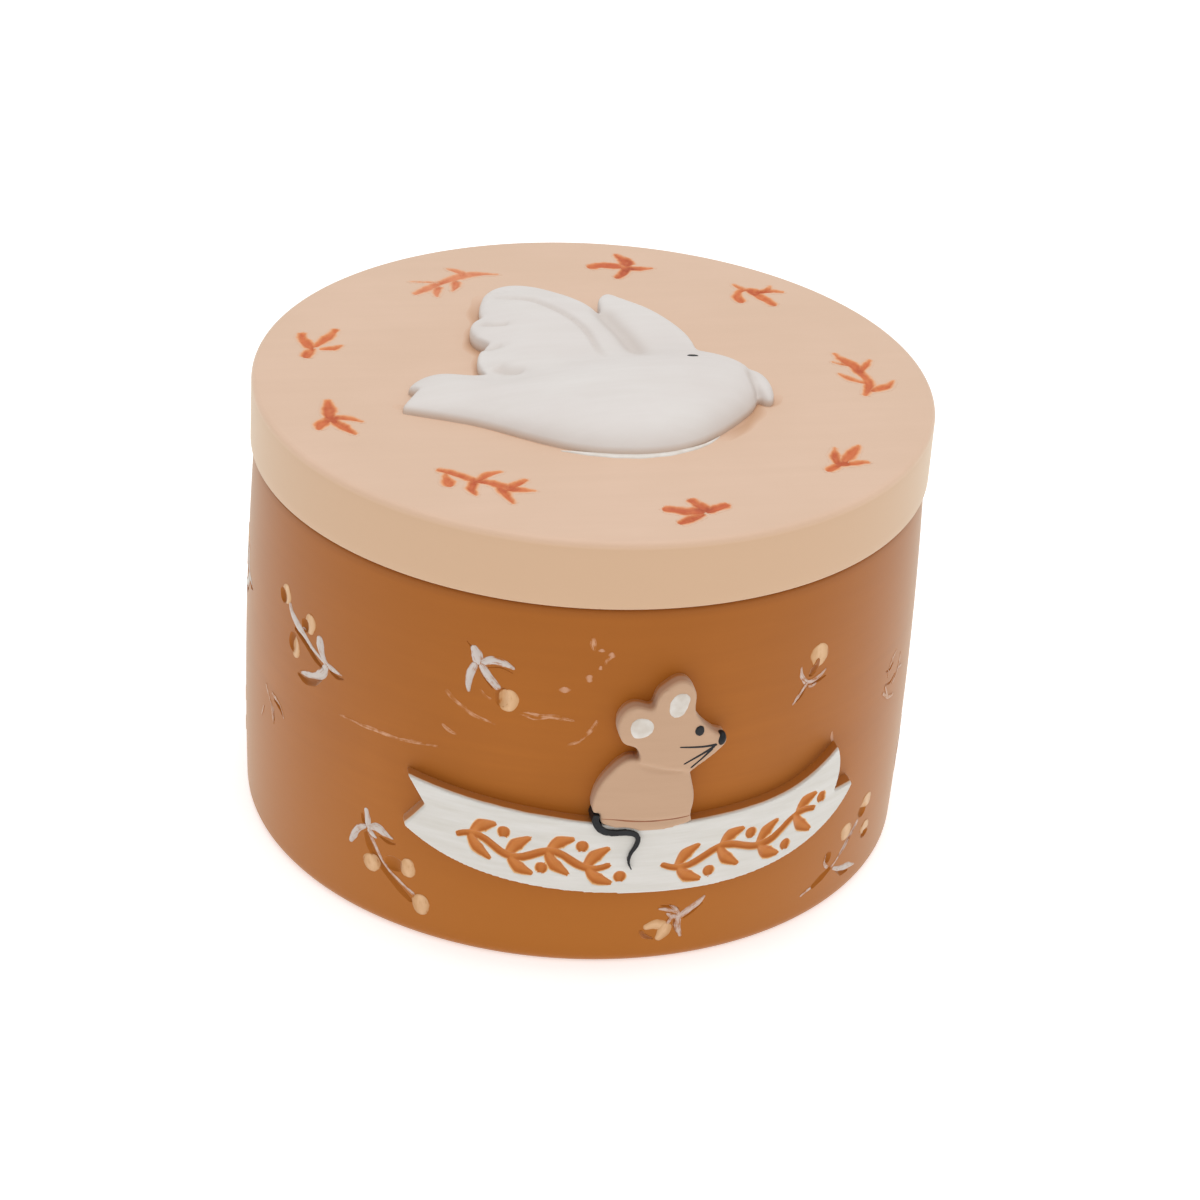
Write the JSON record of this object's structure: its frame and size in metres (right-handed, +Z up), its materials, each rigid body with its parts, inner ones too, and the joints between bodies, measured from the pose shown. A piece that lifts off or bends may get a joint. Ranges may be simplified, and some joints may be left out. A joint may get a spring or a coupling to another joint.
{
  "type": "baby tooth box",
  "caption": "Round cast keepsake box for milk teeth with a lift-off lid, a raised dove on the lid and a ribbon with a sitting mouse raised on the wall.",
  "frame": {"origin": "centre of the flat base that the box stands on", "axes": "+Z up along the axis of the round body, -Y towards the middle of the ribbon banner (front), +X to the right seen from the front"},
  "size_m": [0.0704, 0.0724, 0.0522],
  "materials": {
    "brown_resin": "hand-painted matte cast resin, caramel brown",
    "peach_resin": "hand-painted matte cast resin, pale peach",
    "dove_white": "matte off-white paint",
    "ribbon_white": "matte off-white paint over brown",
    "mouse_tan": "matte tan paint",
    "tail_black": "satin black paint"
  },
  "bodies": {
    "box": {"box_body": "brown_resin", "ribbon_banner": "ribbon_white", "mouse_body": "mouse_tan", "mouse_head": "mouse_tan", "mouse_tail": "tail_black"},
    "lid": {"lid": "peach_resin", "dove_body": "dove_white", "dove_beak": "dove_white", "dove_near_wing": "dove_white", "dove_far_wing": "dove_white"}
  },
  "joints": [
    {"name": "lid_lift", "type": "slide", "parent": "box", "child": "lid", "axis": [0, 0, 1], "range_m": [0, 0.06]}
  ]
}
